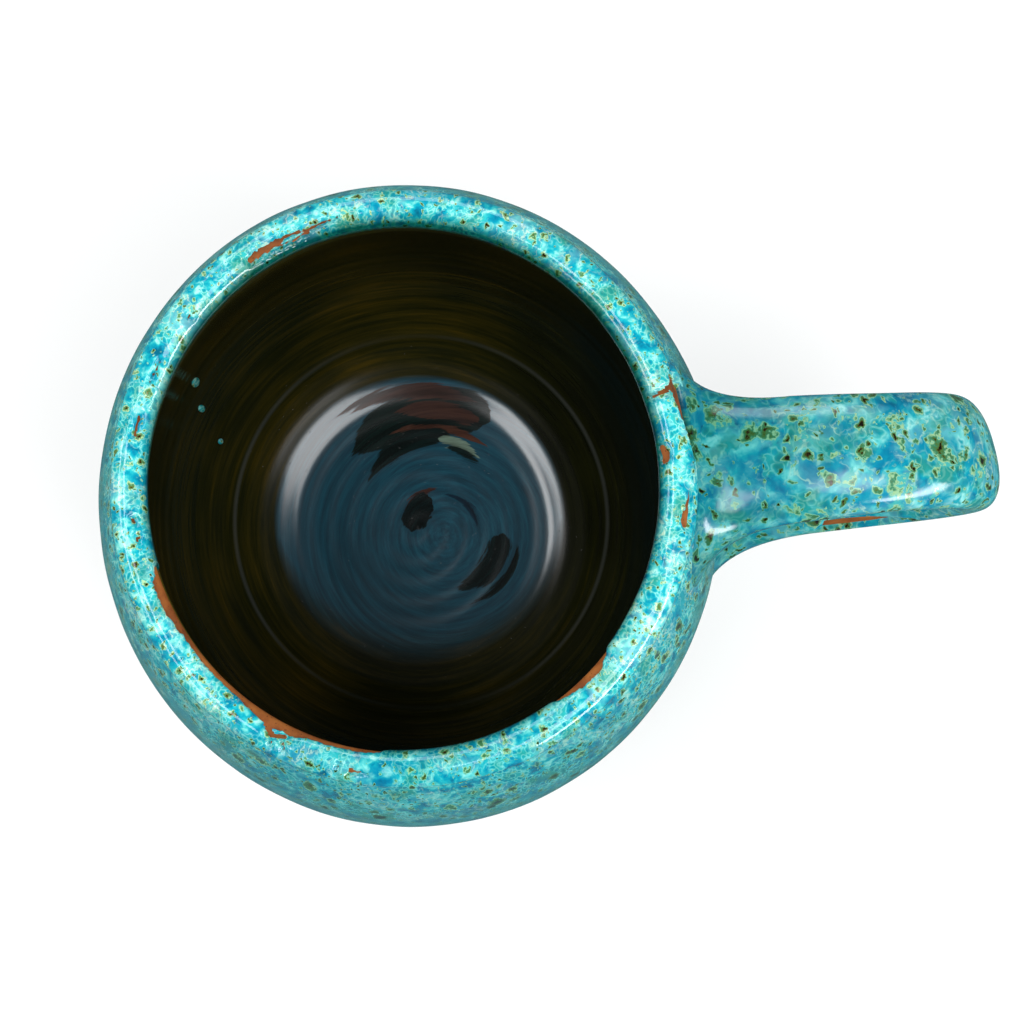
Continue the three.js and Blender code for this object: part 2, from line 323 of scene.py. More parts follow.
def turquoiseGlaze(name, look):
    material, tree, shader = newMaterial(name)
    grain, bloom, paintedShade = look["grain"], look["bloom"], look["paintedShade"]
    at = inMillimetres(tree, grain, look["sag"])
    half = (0.5, 0.5, 0.5)
    slow = addNode(tree, "TexNoise", {"Vector": at, "Scale": 1 / glaze["swirl"], "Detail": 2})
    sway = addNode(tree, "VectorMath", {0: slow.outputs["Color"], 1: half}, operation="SUBTRACT")
    swirled = addNode(tree, "VectorMath", {0: sway.outputs[0], 1: [glaze["swirlReach"]] * 3, 2: at},
                      operation="MULTIPLY_ADD").outputs[0]
    quick = addNode(tree, "TexNoise", {"Vector": swirled, "Scale": 1 / glaze["curl"], "Detail": 1})
    shake = addNode(tree, "VectorMath", {0: quick.outputs["Color"], 1: half}, operation="SUBTRACT")
    curled = addNode(tree, "VectorMath", {0: shake.outputs[0], 1: [glaze["curlReach"]] * 3, 2: swirled},
                     operation="MULTIPLY_ADD").outputs[0]

    # marbled bands, and among them cells with a blue heart
    flow = addNode(tree, "TexNoise", {"Vector": curled, "Scale": 1 / glaze["band"], "Detail": 3})
    marble = addNode(tree, "ValToRGB", {0: flow.outputs[0]}, [
        (0.28, "#035E7A"), (0.38, "#047E9C"), (0.46, "#0898AE"), (0.53, "#24AEB8"), (0.6, "#6ED0CC"),
        (0.67, "#A8E6DE"), (0.73, "#28AAB2")])
    cells = addNode(tree, "TexVoronoi", {"Vector": curled, "Scale": 1 / glaze["cell"]})
    water = addNode(tree, "ValToRGB", {0: cells.outputs["Distance"]}, [
        (0.12, "#0584A2"), (0.3, "#089AB0"), (0.44, "#24B2BA"), (0.58, "#92DED8"), (0.7, "#2EB6BC")])
    drift = addNode(tree, "TexNoise", {"Vector": swirled, "Scale": grain / glaze["drift"], "Detail": 4})
    drifts = addNode(tree, "SeparateColor", {0: drift.outputs["Color"]})
    choice = addNode(tree, "MapRange", {0: drift.outputs["Fac"], 1: 0.47, 2: 0.53})
    colour = addNode(tree, "Mix", {0: choice.outputs[0], 6: marble.outputs[0], 7: water.outputs[0]},
                     data_type="RGBA").outputs[2]
    for channel, shade, strength in ((0, "#2A8064", 0.65), (1, "#A8E6E0", 0.3), (2, "#067AA0", 0.5)):
        part = addNode(tree, "MapRange", {0: drifts.outputs[channel], 1: 0.52 - bloom, 2: 0.66 - bloom,
                                          3: 0, 4: strength})
        colour = addNode(tree, "Mix", {0: part.outputs[0], 6: colour, 7: linear(shade)},
                         data_type="RGBA").outputs[2]
    thread = addNode(tree, "TexNoise", {"Vector": curled, "Scale": 1 / glaze["thread"], "Detail": 5})
    beside = addNode(tree, "Math", {0: thread.outputs[0], 1: 0.5}, operation="SUBTRACT")
    beside = addNode(tree, "Math", {0: beside.outputs[0]}, operation="ABSOLUTE")
    patchy = addNode(tree, "MapRange", {0: drifts.outputs[1], 1: 0.46, 2: 0.6, 3: 0, 4: 0.5})
    fine = addNode(tree, "MapRange", {0: beside.outputs[0], 1: 0.005, 2: 0.03, 3: patchy.outputs[0], 4: 0})
    colour = addNode(tree, "Mix", {0: fine.outputs[0], 6: colour, 7: linear("#DDE8C8")},
                     data_type="RGBA").outputs[2]

    # blots, each with its rings
    run = addNode(tree, "Attribute", attribute_name="run")
    fray = addNode(tree, "VectorMath", {0: flow.outputs["Color"], 1: half}, operation="SUBTRACT")
    frayed = addNode(tree, "VectorMath", {0: fray.outputs[0], 1: [glaze["frayReach"]] * 3, 2: curled},
                     operation="MULTIPLY_ADD").outputs[0]
    ruffle = addNode(tree, "TexNoise", {"Vector": at, "Scale": 1 / glaze["ruffle"], "Detail": 2})
    rough = addNode(tree, "VectorMath", {0: ruffle.outputs["Color"], 1: half}, operation="SUBTRACT")
    frayed = addNode(tree, "VectorMath", {0: rough.outputs[0], 1: [glaze["ruffleReach"]] * 3, 2: frayed},
                     operation="MULTIPLY_ADD").outputs[0]
    uneven = addNode(tree, "MapRange", {0: ruffle.outputs["Fac"], 1: 0.25, 2: 0.75, 3: -0.3, 4: 0.3})
    covers = []
    for blot in look["blots"]:
        spots = addNode(tree, "TexVoronoi", {"Vector": frayed, "Scale": 1 / blot["spacing"]})
        lot = addNode(tree, "SeparateColor", {0: spots.outputs["Color"]})
        small, large = [radius / blot["spacing"] for radius in blot["radius"]]
        size = addNode(tree, "MapRange", {0: lot.outputs[0], 1: blot["plain"], 2: 1, 3: small, 4: large})
        ratio = addNode(tree, "Math", {0: spots.outputs["Distance"], 1: size.outputs[0]}, operation="DIVIDE")
        drawn = addNode(tree, "Math", {0: lot.outputs[0], 1: blot["plain"]}, operation="GREATER_THAN")
        heart = addNode(tree, "MapRange", {0: lot.outputs[1], 3: -blot["heart"][0], 4: -blot["heart"][1]})
        ring = addNode(tree, "Math", {0: ratio.outputs[0], 1: heart.outputs[0]}, operation="ADD")
        ring = addNode(tree, "Math", {0: ring.outputs[0], 1: uneven.outputs[0]}, operation="ADD")
        rings = addNode(tree, "ValToRGB", {0: ring.outputs[0]}, [
            (0.16, "#12100A"), (0.28, "#4A3A14"), (0.4, "#557034"), (0.62, "#3F8562"), (0.82, "#B4CE98"),
            (0.95, "#4FB3AC")])
        cover = addNode(tree, "MapRange", {0: ratio.outputs[0], 1: 0.82, 2: 1, 3: 1, 4: 0})
        there = addNode(tree, "MapRange", {0: run.outputs["Fac"], 1: blot["from"], 2: blot["to"]})
        shown = addNode(tree, "Math", {0: cover.outputs[0], 1: drawn.outputs[0]}, operation="MULTIPLY")
        shown = addNode(tree, "Math", {0: shown.outputs[0], 1: there.outputs[0]}, operation="MULTIPLY")
        colour = addNode(tree, "Mix", {0: shown.outputs[0], 6: colour, 7: rings.outputs[0]},
                         data_type="RGBA").outputs[2]
        covers.append(shown.outputs[0])

    # painted shade: the coat is darkened where it turns down inside the lip, most of all on the far side
    level = addNode(tree, "VectorMath", {0: at, 1: (1, 1, 0)}, operation="MULTIPLY")
    around = addNode(tree, "VectorMath", {0: level.outputs[0]}, operation="NORMALIZE")
    far = addNode(tree, "VectorMath", {0: around.outputs[0], 1: (0.4, 0.9, 0)}, operation="DOT_PRODUCT")
    first = addNode(tree, "MapRange", {0: far.outputs["Value"], 1: -0.2, 2: 0.7, 3: -1.2, 4: -0.3})
    last = addNode(tree, "Math", {0: first.outputs[0], 1: 1.6}, operation="SUBTRACT")
    inside = addNode(tree, "MapRange", {0: run.outputs["Fac"], 1: first.outputs[0], 2: last.outputs[0]})
    colour = addNode(tree, "Mix", {0: inside.outputs[0], 6: colour, 7: linear("#2C6E66")},
                     data_type="RGBA", blend_type="MULTIPLY").outputs[2]
    colour = addNode(tree, "Mix", {0: 1, 6: colour, 7: linear(look["depth"])}, data_type="RGBA",
                     blend_type="MULTIPLY").outputs[2]
    # painted shade: the coat is darkened and made bluer towards one side
    toward = addNode(tree, "VectorMath", {0: at, 1: Vector(paintedShade["axis"]) * grain}, operation="DOT_PRODUCT")
    paintedShadeMask = addNode(tree, "MapRange", {0: toward.outputs["Value"], 1: paintedShade["from"], 2: paintedShade["to"]})
    colour = addNode(tree, "Mix", {0: paintedShadeMask.outputs[0], 6: colour, 7: linear(paintedShade["tint"])},
                     data_type="RGBA", blend_type="MULTIPLY").outputs[2]
    # painted light: the colour is scaled lighter over the lip
    paintedLipLight = addNode(tree, "MapRange", {0: run.outputs["Fac"], 1: 3, 2: 7, 3: glaze["lipPaintedLight"], 4: 1})
    colour = addNode(tree, "VectorMath", {0: colour, 3: paintedLipLight.outputs[0]}, operation="SCALE").outputs[0]

    sunken = addNode(tree, "Math", {0: covers[0], 1: covers[1]}, operation="ADD")
    relief = addNode(tree, "Math", {0: sunken.outputs[0], 1: -0.5, 2: cells.outputs["Distance"]},
                     operation="MULTIPLY_ADD")
    bump = addNode(tree, "Bump", {"Height": relief.outputs[0], "Strength": 0.08, "Distance": 0.12 * mm})
    tree.links.new(colour, shader.inputs["Base Color"])
    tree.links.new(bump.outputs[0], shader.inputs["Normal"])
    shader.inputs["Roughness"].default_value = look["dullness"]
    shader.inputs["Specular IOR Level"].default_value = 0.45
    return material


# Dark iron liner glaze: near black, amber where it is thin along the throwing rings, with a blue
# steel film pooled on the floor and wiped by dark and rusty strokes along the last turns of the wheel
film = {  # sizes in millimetres, angles in degrees round the cup
    "middle": (0.3, 1.4, 0),
    "radius": 24.6,
    "spiral": (4.2, -1.6, 0),  # where the last turns of the wheel ended
}
# Strokes: middle radius and half width, first and last angle, inward drift, blunt or long ends, colour
outerStrokes = [  # round the middle of the cup
    {"radius": 19.2, "half": 4.4, "from": 52, "to": 129, "drift": 2.6, "ends": (8, 2), "shade": "#08201D"},
    {"radius": 23.4, "half": 1.5, "from": 58, "to": 126, "drift": 0, "ends": (3, 2), "shade": "#45291F"},
    {"radius": 20.3, "half": 1.7, "from": 56, "to": 98, "drift": 0.3, "ends": (6, 2), "shade": "#45291F"},
    {"radius": 17.4, "half": 0.9, "from": 46, "to": 106, "drift": 0.6, "ends": (3, 2), "shade": "#573629"},
    {"radius": 14.1, "half": 1.9, "from": 66, "to": 134, "drift": 2.5, "ends": (6, 1.5), "shade": "#071D1C"},
    {"radius": 15.7, "half": 1.1, "from": 46, "to": 74, "drift": 0, "ends": (2, 6), "shade": "#7C9684"},
    {"radius": 14.9, "half": 0.8, "from": 42, "to": 68, "drift": 0, "ends": (2, 3), "shade": "#08201F"},
]
innerStrokes = [  # round the end of the spiral
    {"radius": 8, "half": 0.8, "from": 92, "to": 152, "drift": 0, "ends": (3, 2), "shade": "#4C2C24"},
    {"radius": 5.9, "half": 2.5, "from": 104, "to": 170, "drift": 0.4, "ends": (8, 3), "shade": "#06191A"},
    {"radius": 6.4, "half": 0.7, "from": -6, "to": 86, "drift": -0.7, "ends": (2, 2), "shade": "#0A2A3C"},
    {"radius": 9.3, "half": 2.1, "from": -83, "to": -1, "drift": -0.3, "ends": (1.6, 9), "shade": "#071C1C"},
    {"radius": 12.4, "half": 0.8, "from": -76, "to": -3, "drift": 0, "ends": (2, 3), "shade": "#0B1A19"},
]
liner = {
    "thickness": 0.6,
    "sunk": 0.4,
    "backStep": 6,
    "dishRadius": 17.4,  # it pools thick round the floor, so only this much of the floor is flat
    "ringPitch": 3.4,
    "ringDepth": 0.03,
    "ridgeMiddle": (0.6, 0.8, 0),
    "ridgeRadius": 31.2,  # one throwing ridge that stands out
    "ridgeHeight": 0.2,
    "ridgeHalf": 0.5,
    "settled": 6,  # the rings reach their full depth that far below the edge
    "cuts": 7,
}


def darkLiner(name):
    material, tree, shader = newMaterial(name)
    at = inMillimetres(tree)
    steps = addNode(tree, "SeparateXYZ", {0: at})
    level = addNode(tree, "VectorMath", {0: at, 1: (1, 1, 0)}, operation="MULTIPLY")
    radius = addNode(tree, "VectorMath", {0: level.outputs[0]}, operation="LENGTH").outputs["Value"]
    around = addNode(tree, "VectorMath", {0: level.outputs[0]}, operation="NORMALIZE")
    aroundSteps = addNode(tree, "SeparateXYZ", {0: around.outputs[0]})
    down = addNode(tree, "Math", {0: radius, 1: steps.outputs[2]}, operation="ADD")
    ringed = addNode(tree, "CombineXYZ", {0: down.outputs[0], 1: aroundSteps.outputs[0],
                                          2: aroundSteps.outputs[1]})
    along = addNode(tree, "VectorMath", {0: ringed.outputs[0], 1: (1, 2.5, 2.5)},
                    operation="MULTIPLY").outputs[0]
    streaks = addNode(tree, "TexNoise", {"Vector": along, "Scale": 1 / 1.4, "Detail": 5, "Roughness": 0.65})
    clouds = addNode(tree, "TexNoise", {"Vector": at, "Scale": 1 / 30, "Detail": 2})
    mixed = addNode(tree, "Math", {0: streaks.outputs[0], 1: 0.5}, operation="MULTIPLY")
    mixed = addNode(tree, "Math", {0: clouds.outputs[0], 1: 0.5, 2: mixed.outputs[0]},
                    operation="MULTIPLY_ADD")
    # painted light: the tone is lifted towards the left wall
    paintedLightLeft = addNode(tree, "VectorMath", {0: around.outputs[0], 1: (-0.1, -0.01, 0)},
                      operation="DOT_PRODUCT")
    mixed = addNode(tree, "Math", {0: mixed.outputs[0], 1: paintedLightLeft.outputs["Value"]}, operation="ADD")
    tone = addNode(tree, "ValToRGB", {0: mixed.outputs[0]}, [
        (0.36, "#15180A"), (0.5, "#22240B"), (0.6, "#36310C"), (0.72, "#54440E")])

    # the throwing ridge, with a painted grey highlight along it, strongest on the left and right
    ridgeSide = addNode(tree, "VectorMath", {0: level.outputs[0], 1: liner["ridgeMiddle"]},
                        operation="SUBTRACT")
    ridgeReach = addNode(tree, "VectorMath", {0: ridgeSide.outputs[0]}, operation="LENGTH")
    fromRidge = addNode(tree, "Math", {0: ridgeReach.outputs["Value"], 1: liner["ridgeRadius"]},
                        operation="SUBTRACT")
    fromRidge = addNode(tree, "Math", {0: fromRidge.outputs[0]}, operation="ABSOLUTE")
    aside = addNode(tree, "Math", {0: aroundSteps.outputs[0]}, operation="ABSOLUTE")
    ridgeHighlightSides = addNode(tree, "MapRange", {0: aside.outputs[0], 1: 0.1, 2: 0.9, 3: 0.1, 4: 0.55})
    paintedRidgeHighlight = addNode(tree, "MapRange", {0: fromRidge.outputs[0], 1: 0.1, 2: 0.45, 3: ridgeHighlightSides.outputs[0], 4: 0})
    tone = addNode(tree, "Mix", {0: paintedRidgeHighlight.outputs[0], 6: tone.outputs[0], 7: linear("#4E524E")},
                   data_type="RGBA")

    # film on the floor, sharp on the far side and fading out on the near side
    turns = addNode(tree, "VectorMath", {0: level.outputs[0], 1: film["spiral"]}, operation="SUBTRACT")
    swing = addNode(tree, "VectorMath", {0: turns.outputs[0]}, operation="LENGTH")
    facing = addNode(tree, "VectorMath", {0: turns.outputs[0]}, operation="NORMALIZE")
    facingSteps = addNode(tree, "SeparateXYZ", {0: facing.outputs[0]})
    wound = addNode(tree, "CombineXYZ", {0: swing.outputs["Value"], 1: facingSteps.outputs[0],
                                         2: facingSteps.outputs[1]})
    brushed = addNode(tree, "TexNoise", {"Vector": wound.outputs[0], "Scale": 1 / 0.8, "Detail": 5,
                                         "Roughness": 0.7})
    jagged = addNode(tree, "Math", {0: brushed.outputs[0], 1: 0.5}, operation="SUBTRACT")
    shifted = addNode(tree, "VectorMath", {0: level.outputs[0], 1: film["middle"]}, operation="SUBTRACT")
    reach = addNode(tree, "VectorMath", {0: shifted.outputs[0]}, operation="LENGTH").outputs["Value"]
    fade = addNode(tree, "MapRange", {0: steps.outputs[1], 1: -18, 2: 0, 3: 6, 4: 1})
    room = addNode(tree, "Math", {0: film["radius"], 1: reach}, operation="SUBTRACT")
    cover = addNode(tree, "Math", {0: room.outputs[0], 1: fade.outputs[0]},
                    operation="DIVIDE", use_clamp=True)
    sheen = addNode(tree, "MapRange", {0: brushed.outputs[0], 1: 0.3, 2: 0.7})
    steel = addNode(tree, "ValToRGB", {0: sheen.outputs[0]}, [
        (0.0, "#05394A"), (0.5, "#074A5E"), (1.0, "#136076")])
    colour = addNode(tree, "Mix", {0: cover.outputs[0], 6: tone.outputs[2], 7: steel.outputs[0]},
                     data_type="RGBA").outputs[2]
    lustre = cover.outputs[0]
    mottle = addNode(tree, "MapRange", {0: brushed.outputs[0], 1: 0.38, 2: 0.6, 3: 0.4, 4: 1.1})
    for centre, strokes in ((level.outputs[0], outerStrokes), (turns.outputs[0], innerStrokes)):
        distance = addNode(tree, "VectorMath", {0: centre}, operation="LENGTH").outputs["Value"]
        for stroke in strokes:
            middle = math.radians((stroke["from"] + stroke["to"]) / 2)
            spread = math.radians(stroke["to"] - stroke["from"]) / 2
            turned = addNode(tree, "VectorRotate", {"Vector": centre, "Angle": -middle},
                             rotation_type="Z_AXIS")
            sides = addNode(tree, "SeparateXYZ", {0: turned.outputs[0]})
            angle = addNode(tree, "Math", {0: sides.outputs[1], 1: sides.outputs[0]}, operation="ARCTAN2")
            share = addNode(tree, "Math", {0: angle.outputs[0], 1: spread}, operation="DIVIDE").outputs[0]
            power = addNode(tree, "MapRange", {0: share, 1: -0.01, 2: 0.01, 3: stroke["ends"][0],
                                               4: stroke["ends"][1]})
            bare = addNode(tree, "Math", {0: share}, operation="ABSOLUTE")
            bare = addNode(tree, "Math", {0: bare.outputs[0], 1: power.outputs[0]}, operation="POWER")
            wide = addNode(tree, "Math", {0: bare.outputs[0], 1: -stroke["half"], 2: stroke["half"]},
                           operation="MULTIPLY_ADD")
            line = addNode(tree, "Math", {0: share, 1: -stroke["drift"], 2: stroke["radius"]},
                           operation="MULTIPLY_ADD")
            off = addNode(tree, "Math", {0: distance, 1: line.outputs[0]}, operation="SUBTRACT")
            off = addNode(tree, "Math", {0: off.outputs[0]}, operation="ABSOLUTE")
            inner = addNode(tree, "Math", {0: wide.outputs[0], 1: off.outputs[0]}, operation="SUBTRACT")
            inner = addNode(tree, "Math", {0: jagged.outputs[0], 1: 3, 2: inner.outputs[0]},
                            operation="MULTIPLY_ADD")
            wiped = addNode(tree, "MapRange", {0: inner.outputs[0], 1: 0, 2: 0.35},
                            interpolation_type="SMOOTHSTEP")
            shade = addNode(tree, "VectorMath", {0: linear(stroke["shade"])[:3], 3: mottle.outputs[0]},
                            operation="SCALE")
            colour = addNode(tree, "Mix", {0: wiped.outputs[0], 6: colour, 7: shade.outputs[0]},
                             data_type="RGBA").outputs[2]
            left = addNode(tree, "Math", {0: 1, 1: wiped.outputs[0]}, operation="SUBTRACT")
            lustre = addNode(tree, "Math", {0: left.outputs[0], 1: lustre}, operation="MULTIPLY").outputs[0]

    pinholes = addNode(tree, "TexVoronoi", {"Vector": at, "Scale": 1 / 1.7})
    holes = addNode(tree, "MapRange", {0: pinholes.outputs["Distance"], 1: 0.03, 2: 0.1, 3: -1, 4: 0})
    bump = addNode(tree, "Bump", {"Height": holes.outputs[0], "Strength": 0.4, "Distance": 0.1 * mm})
    tree.links.new(colour, shader.inputs["Base Color"])
    tree.links.new(bump.outputs[0], shader.inputs["Normal"])
    tree.links.new(lustre, shader.inputs["Coat Weight"])
    shader.inputs["Coat IOR"].default_value = 1.48
    shader.inputs["Coat Roughness"].default_value = 0.16
    shader.inputs["Roughness"].default_value = 0.22
    shader.inputs["Specular IOR Level"].default_value = 0.25
    return material


clayFinish = firedClay("bare_red_stoneware", ("#5C2F13", "#80461B", "#9C5F28"))
slipFinish = firedClay("fired_slip", ("#6E3216", "#8A4320", "#9E5A30"))
bodyGlazeFinish = turquoiseGlaze("reactive_turquoise_glaze", bodyLook)
strapGlazeFinish = turquoiseGlaze("reactive_turquoise_glaze_on_strap_with_painted_shade", strapLook)
linerFinish = darkLiner("dark_iron_liner_glaze")
print("materials made")

# Thrown clay body: it shows at the foot and wherever the coat has drawn back
footSection = [place(0, 0), place(vessel["footRadius"] - vessel["footEdge"], 0),
               place(vessel["footRadius"], vessel["footEdge"])]
lipBead = {"height": 0.55, "run": -2.5, "half": 1.3}  # a swelling on the inner side of the lip
footRun = [clayRun[0]] * len(footSection)
clay, clayLayer = turnOnWheel(footSection + claySection, footRun + clayRun, vessel["cuts"], False)
for vert in clay.verts:
    away = (vert[clayLayer] - lipBead["run"]) / lipBead["half"]
    vert.co += vert.normal * lipBead["height"] * math.exp(-away * away)
pullOval(clay)
finishPiece(clay, "thrown_body", clayFinish, "fired_clay", "clay_body")

# Turquoise coat on the body, with the places where it crawled back from the clay in firing.
# A place is a row of (angle round the cup, run over the lip, half width): runs are positive outside
coat = {
    "thickness": 0.9,
    "footGap": 3.2,  # bare clay above the foot
    "lipDepth": 4.2,  # how far it turns down inside
    "sunk": 0.4,  # its back lies that far inside the clay
    "edgeRoll": 0.8,  # width of its rounded edge
    "edgeShift": 0.1,
    "backStep": 4,  # its back has one point for that many at its front
    "bareDepth": 0.15,  # where it has crawled, it lies that far under the clay
    "bareRun": 9,  # the bare places lie within that run of the lip's crest
    "bareMargin": 0.15,  # angle beside a bare place within which it is measured
    "ragged": 0.3,
    "raggedScale": 1.7,
    "uneven": 0.12,  # share by which its thickness changes
    "unevenScale": 0.12,
    "linerGap": 0.3,  # to the edge of the liner
    "dripHeight": 0.4,
    "cuts": 12,
    "bare": [
        [(121, -0.7, 0.5), (117, -0.72, 0.55), (113.6, -0.7, 0.5)],
        [(113.6, -0.45, 0.3), (110.5, -0.5, 0.2), (107, -0.85, 0.3), (103.5, -0.5, 0.18), (100, -0.45, 0.1)],
        [(113.6, -1.2, 0.12), (110.5, -1.4, 0.1), (107, -0.95, 0.3)],
        [(195.6, -3.3, 1.7), (197.4, -3.2, 2.1), (203, -3.25, 2.05), (206, -3.35, 2), (210, -3.55, 1.85),
         (218, -3.5, 1.9), (226, -3.55, 1.85), (230, -3.45, 2), (234, -3.1, 2.3), (241, -3.2, 2.2),
         (244, -3.5, 1.85), (252, -3.55, 1.8), (256, -3.55, 1.8), (259, -3.7, 1.7), (261, -4.1, 1.3)],
        [(234.5, -0.9, 0.4), (237, -0.1, 0.45), (239.5, -0.5, 0.4)],
        [(236.8, 0.1, 0.25), (237.6, 1, 0.2)],
        [(239.6, 0, 0.25), (240.6, 1.2, 0.2)],
        [(303.5, -3.9, 1), (304.5, -3.5, 1.6), (309, -3.2, 1.9), (314, -3.1, 2), (316, -3.4, 1.7),
         (317, -3.9, 1)],
        [(14.5, -1.3, 0.25), (14.9, -0.3, 0.4), (15.1, 0.8, 0.55), (15.4, 2, 0.75)],
        [(15.8, 3.3, 1.9), (13, 3.4, 2.2), (10, 3.5, 1.9), (7.5, 3.5, 1.5), (5, 3.5, 1.1), (3, 3.5, 0.6)],
        [(0.9, -1.5, 0.32), (2.4, -1.35, 0.6), (4.1, -1.6, 0.27)],
        [(-11.7, 1.5, 0.6), (-10.7, 1.4, 0.85), (-9.3, 1.5, 0.7), (-7, 1.8, 0.5), (-3.8, 2.1, 0.36)],
        [(138.6, -0.55, 0.28), (139.4, -0.6, 0.25)],
        [(150, -0.45, 0.15), (155, -0.35, 0.18)],
        [(161.8, -0.45, 0.25), (165.8, -0.43, 0.28)],
        [(182.8, -0.55, 0.35), (183.6, -0.8, 0.2)],
        [(186.8, -0.75, 0.3), (187.4, -0.7, 0.25)],
        [(252.4, 0.5, 0.2), (251.9, 1.5, 0.15)],
        [(254.9, 0.9, 0.5), (256, 0.95, 0.35), (258.2, 0.95, 0.12)],
    ],
    "drips": [  # angle round the cup, height, half width and half length of runs on the inner wall
        {"turn": 144.8, "height": 31.5, "half": 0.85, "long": 1.6},
        {"turn": 148.8, "height": 25.2, "half": 0.6, "long": 1.1},
        {"turn": 153.5, "height": 17.6, "half": 0.5, "long": 0.6},
    ],
}

linerSection = outside + lip + insideWall(liner["dishRadius"])


def toSegment(point, first, second):
    along = second - first
    part = min(max((point - first).dot(along) / max(along.length_squared, 1e-9), 0), 1)
    return (point - first - along * part).length, part


def coatEdge(turn, run):  # distance from the nearest bare place, below 0 inside it
    nearest = hiddenRun
    for places in coat["bare"]:
        for (angleA, runA, wideA), (angleB, runB, wideB) in zip(places, places[1:]):
            middle = math.radians((angleA + angleB) / 2)
            away = (turn - middle + math.pi) % (2 * math.pi) - math.pi
            half = math.radians(angleB - angleA) / 2
            if abs(away) > abs(half) + coat["bareMargin"]:
                continue
            gap, part = toSegment(Vector((away * vessel["lipRadius"], run)),
                                  Vector((-half * vessel["lipRadius"], runA)),
                                  Vector((half * vessel["lipRadius"], runB)))
            nearest = min(nearest, gap - blend(wideA, wideB, part))
    return nearest


def rolledEdge(distance):  # 0 at the coat's edge, 1 where it has its full thickness
    part = min(max(distance / coat["edgeRoll"], 0), 1)
    return math.sqrt(1 - (1 - part) ** 2)


def coatLift(point, run, runEnds):
    lift = coat["thickness"] * (1 + coat["uneven"] * noise.noise(point * coat["unevenScale"]))
    lift *= rolledEdge(min(run - runEnds[0], runEnds[1] - run))
    if abs(run) < coat["bareRun"]:
        edge = coatEdge(ovalTurn(point), run) + coat["ragged"] * noise.noise(point * coat["raggedScale"])
        lift = blend(-coat["bareDepth"], lift, rolledEdge(edge + coat["edgeShift"]))
    return lift


coatStart = next(i for i, point in enumerate(claySection) if point.z > vessel["footHeight"] + coat["footGap"])
coatEnd = next(i for i, point in enumerate(claySection)
               if i > crestIndex and point.z < vessel["rimHeight"] - coat["lipDepth"])
coatFront = claySection[coatStart:coatEnd]
coatRuns = clayRun[coatStart:coatEnd]
coatBack = sunk(coatFront, coat["sunk"])[::-coat["backStep"]]
backRuns = [hiddenRun] * len(coatBack)
bodyCoat, coatLayer = turnOnWheel(coatFront + coatBack, coatRuns + backRuns, coat["cuts"], True)
for vert in bodyCoat.verts:
    if vert[coatLayer] < hiddenRun:
        vert.co += vert.normal * coatLift(vert.co, vert[coatLayer], (coatRuns[-1], coatRuns[0]))
for drip in coat["drips"]:
    index = next(i for i, point in enumerate(linerSection) if i > crestIndex and point.z < drip["height"])
    upward = (linerSection[index - 1] - linerSection[index + 1]).normalized()
    inward = Vector((-upward.z, 0, upward.x))
    spot = linerSection[index] + inward * liner["thickness"]
    axes = Matrix((upward * drip["long"], (0, drip["half"], 0), inward * coat["dripHeight"]))
    axes = axes.transposed().to_4x4()
    settle = Matrix.Rotation(math.radians(drip["turn"]), 4, "Z") @ Matrix.Translation(spot) @ axes
    bmesh.ops.create_uvsphere(bodyCoat, u_segments=24, v_segments=12, radius=1, matrix=settle)
pullOval(bodyCoat)
finishPiece(bodyCoat, "body_turquoise_coat", bodyGlazeFinish, "turquoise_glaze", "body_glaze")

# Dark liner coat, with the throwing rings and the spiral left on the floor
linerStart = next(i for i, point in enumerate(claySection)
                  if i > crestIndex and point.z < vessel["rimHeight"] - coat["lipDepth"] - coat["linerGap"])
linerFront = linerSection[linerStart:]
linerRuns = runLengths(linerSection, crestIndex)[linerStart:]
linerBack = sunk(claySection[linerStart:], liner["sunk"])[:-1:liner["backStep"]][::-1]
linerBack.insert(0, place(0, vessel["floorThickness"] - liner["sunk"]))
backRuns = [hiddenRun] * len(linerBack)
linerCoat, linerLayer = turnOnWheel(linerFront + linerBack, linerRuns + backRuns, liner["cuts"], True)
for vert in linerCoat.verts:
    if vert[linerLayer] < hiddenRun:
        turn = math.atan2(vert.co.y, vert.co.x)
        rings = liner["ringDepth"] * math.sin(2 * math.pi * vert[linerLayer] / liner["ringPitch"] + turn)
        lift = liner["thickness"] * rolledEdge(linerRuns[0] - vert[linerLayer])
        if vert.co.z < belly.z:
            beside = vert.co.xy - Vector(liner["ridgeMiddle"]).xy
            away = (beside.length - liner["ridgeRadius"]) / liner["ridgeHalf"]
            lift += liner["ridgeHeight"] * math.exp(-away * away)
        settled = smooth(0, liner["settled"], linerRuns[0] - vert[linerLayer])
        vert.co += vert.normal * (lift + rings * settled)
pullOval(linerCoat)
finishPiece(linerCoat, "dark_liner_coat", linerFinish, "dark_liner_glaze", "liner_glaze")

